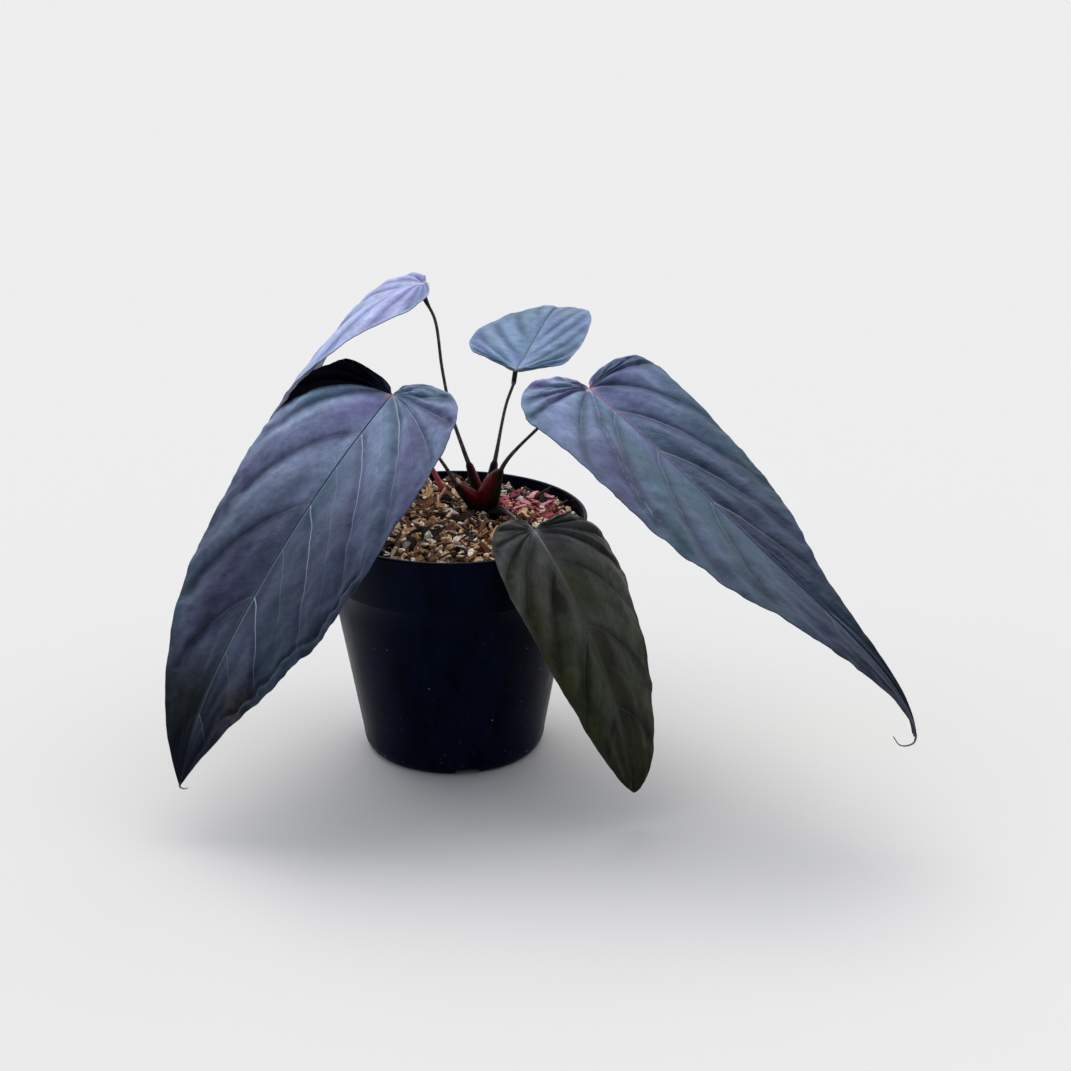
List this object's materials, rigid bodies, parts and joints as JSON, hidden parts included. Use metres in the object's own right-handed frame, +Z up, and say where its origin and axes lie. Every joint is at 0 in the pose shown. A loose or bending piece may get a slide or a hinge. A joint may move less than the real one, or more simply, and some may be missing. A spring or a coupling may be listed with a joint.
{
  "type": "potted anthurium papillilaminum",
  "caption": "Long heart-based dark velvet leaves on thin stalks from one crown in a chunky mix, in a tapered dark nursery pot.",
  "frame": {"origin": "middle of the pot's foot, on the surface that it stands on", "axes": "+Z up, -Y to the side that the low front leaf hangs over, +X to the right along the plant's widest spread"},
  "size_m": [0.3089, 0.2615, 0.2089],
  "materials": {
    "pot_plastic": "moulded blue-black plastic, half gloss, dusty",
    "potting_mix": "loose husks, bark and white grit, dull",
    "crown_sheath": "smooth dark maroon sheaths, satin",
    "shoot": "smooth red shoot, satin",
    "stalk": "smooth dark stalk, satin",
    "blade_front_left": "dark blue-green velvet with pale veins",
    "blade_front_right": "dark blue-green velvet with pale veins",
    "blade_low_front": "olive-black velvet with pale veins",
    "blade_back_right": "steel-blue sheen on velvet with dark veins",
    "blade_back_left": "pale lavender-blue sheen on velvet"
  },
  "bodies": {
    "root": {"pot": "pot_plastic", "potting_mix": "potting_mix", "crown": "crown_sheath", "red_shoot": "shoot", "stalk_front_left": "stalk", "blade_front_left": "blade_front_left", "stalk_front_right": "stalk", "blade_front_right": "blade_front_right", "stalk_low_front": "stalk", "blade_low_front": "blade_low_front", "stalk_back_right": "stalk", "blade_back_right": "blade_back_right", "stalk_back_left": "stalk", "blade_back_left": "blade_back_left"}
  },
  "joints": []
}
